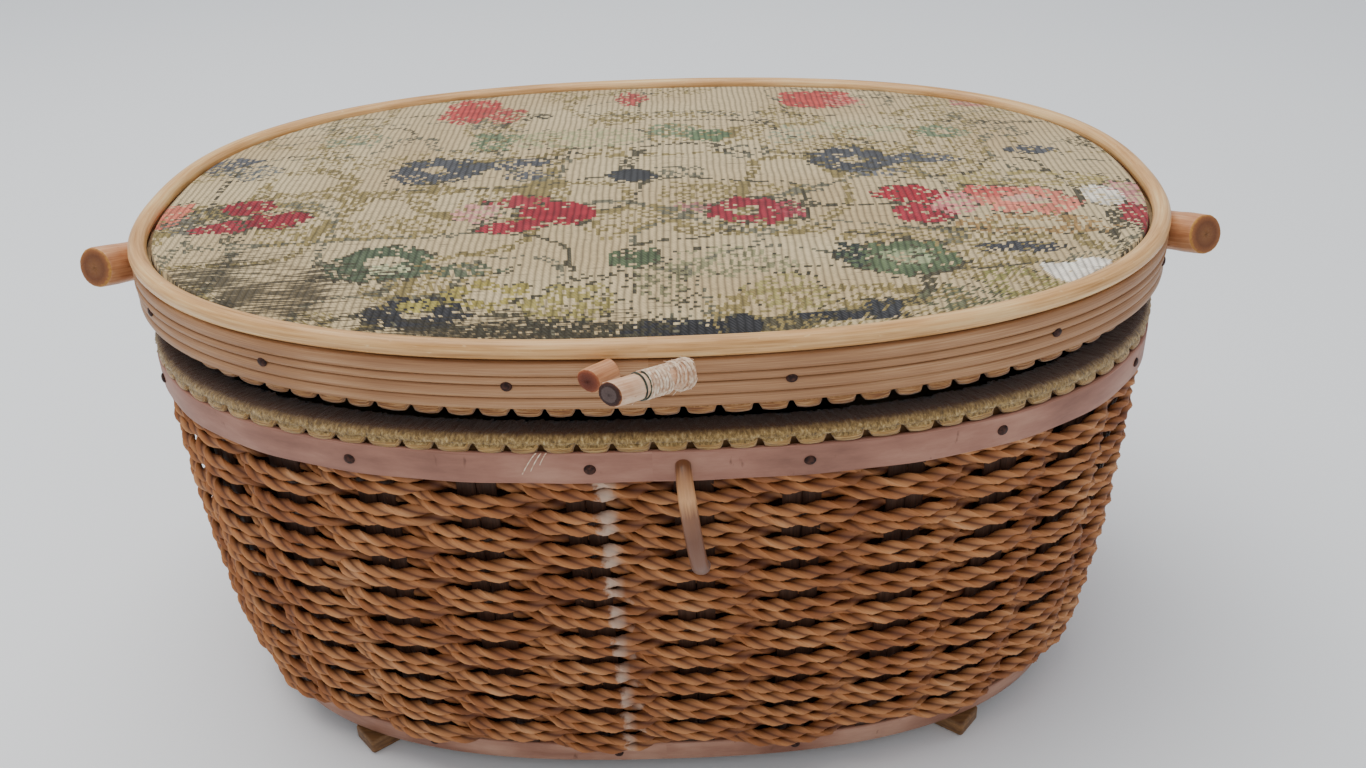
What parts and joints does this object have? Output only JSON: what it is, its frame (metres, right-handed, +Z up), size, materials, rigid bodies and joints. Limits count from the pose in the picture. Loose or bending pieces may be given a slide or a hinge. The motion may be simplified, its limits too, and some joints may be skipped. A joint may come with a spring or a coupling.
{
  "type": "sewing basket",
  "caption": "Oval woven sewing basket with a hinged tapestry-covered lid, peg toggle and reed keeper, side pegs, satin lining and two lift-out compartment trays.",
  "frame": {"origin": "middle of the overall box at the height of the surface that the feet stand on", "axes": "+X along the basket's length, through the side pegs; -Y towards the front, where the toggle is; +Z up"},
  "size_m": [0.2806, 0.2114, 0.1353],
  "materials": {
    "wood": "planed and oiled",
    "pink_reed": "split reed, worn satin",
    "paper_cord": "twisted fibre cord, waxed",
    "stake_reed": "flat reed",
    "gold_braid": "metallic thread gimp",
    "satin": "navy satin",
    "tray_wood": "thin sanded board",
    "golden_reed": "round reed, varnished",
    "pale_reed": "half-round reed, satin",
    "brown_reed": "rattan with its bark",
    "nail": "browned iron",
    "card": "pasteboard",
    "wadding": "cotton wadding",
    "tapestry": "jacquard weave",
    "tan_braid": "scalloped gimp",
    "thread": "cotton thread",
    "tray_board": "paper-covered board",
    "ribbon": "satin ribbon"
  },
  "bodies": {
    "basket": {"base_board": "wood", "foot_front_left": "wood", "foot_front_right": "wood", "foot_back_left": "wood", "foot_back_right": "wood", "base_band": "pink_reed", "woven_wall": "paper_cord", "stakes": "stake_reed", "top_band": "pink_reed", "rim_core": "wood", "rim_gimp": "gold_braid", "lining": "satin", "tray_ledge": "tray_wood", "latch_keeper": "golden_reed", "hinge_strap_left": "brown_reed", "hinge_strap_right": "brown_reed", "hinge_rod_left": "golden_reed", "hinge_rod_right": "golden_reed", "band_nail_1": "nail", "band_nail_2": "nail", "band_nail_3": "nail", "band_nail_4": "nail", "band_nail_5": "nail", "band_nail_6": "nail", "base_nail_1": "nail", "base_nail_2": "nail", "base_nail_3": "nail", "base_nail_4": "nail"},
    "lid": {"lid_frame": "wood", "lid_board": "card", "lid_wadding": "wadding", "tapestry": "tapestry", "lid_top_reed": "golden_reed", "lid_reed_1": "pale_reed", "lid_reed_2": "pale_reed", "lid_reed_3": "pale_reed", "lid_reed_4": "pale_reed", "lid_gimp": "tan_braid", "lid_lining": "satin", "side_peg_left": "brown_reed", "side_peg_right": "brown_reed", "lid_strap_left": "brown_reed", "lid_strap_right": "brown_reed", "toggle_stub": "brown_reed", "lid_nail_1": "nail", "lid_nail_2": "nail", "lid_nail_3": "nail", "lid_nail_4": "nail", "lid_nail_5": "nail"},
    "toggle": {"toggle_peg": "brown_reed", "toggle_thread": "thread"},
    "left_tray": {"tray_left": "tray_board", "tray_divider_left": "tray_wood", "tray_ribbon_left": "ribbon"},
    "right_tray": {"tray_right": "tray_board", "tray_divider_right": "tray_wood", "tray_ribbon_right": "ribbon"}
  },
  "joints": [
    {"name": "lid_hinge", "type": "hinge", "parent": "basket", "child": "lid", "pos_m": [0, 0.10273, 0.1149], "axis": [-1, 0, 0], "range_deg": [0, 100]},
    {"name": "toggle_swing", "type": "hinge", "parent": "lid", "child": "toggle", "pos_m": [0.008, -0.08987, 0.1291], "axis": [0.6756, -0.7373, 0], "range_deg": [-15, 80]},
    {"name": "left_tray_lift", "type": "slide", "parent": "basket", "child": "left_tray", "axis": [0, 0, 1], "range_m": [0, 0.032]},
    {"name": "right_tray_lift", "type": "slide", "parent": "basket", "child": "right_tray", "axis": [0, 0, 1], "range_m": [0, 0.032]}
  ]
}
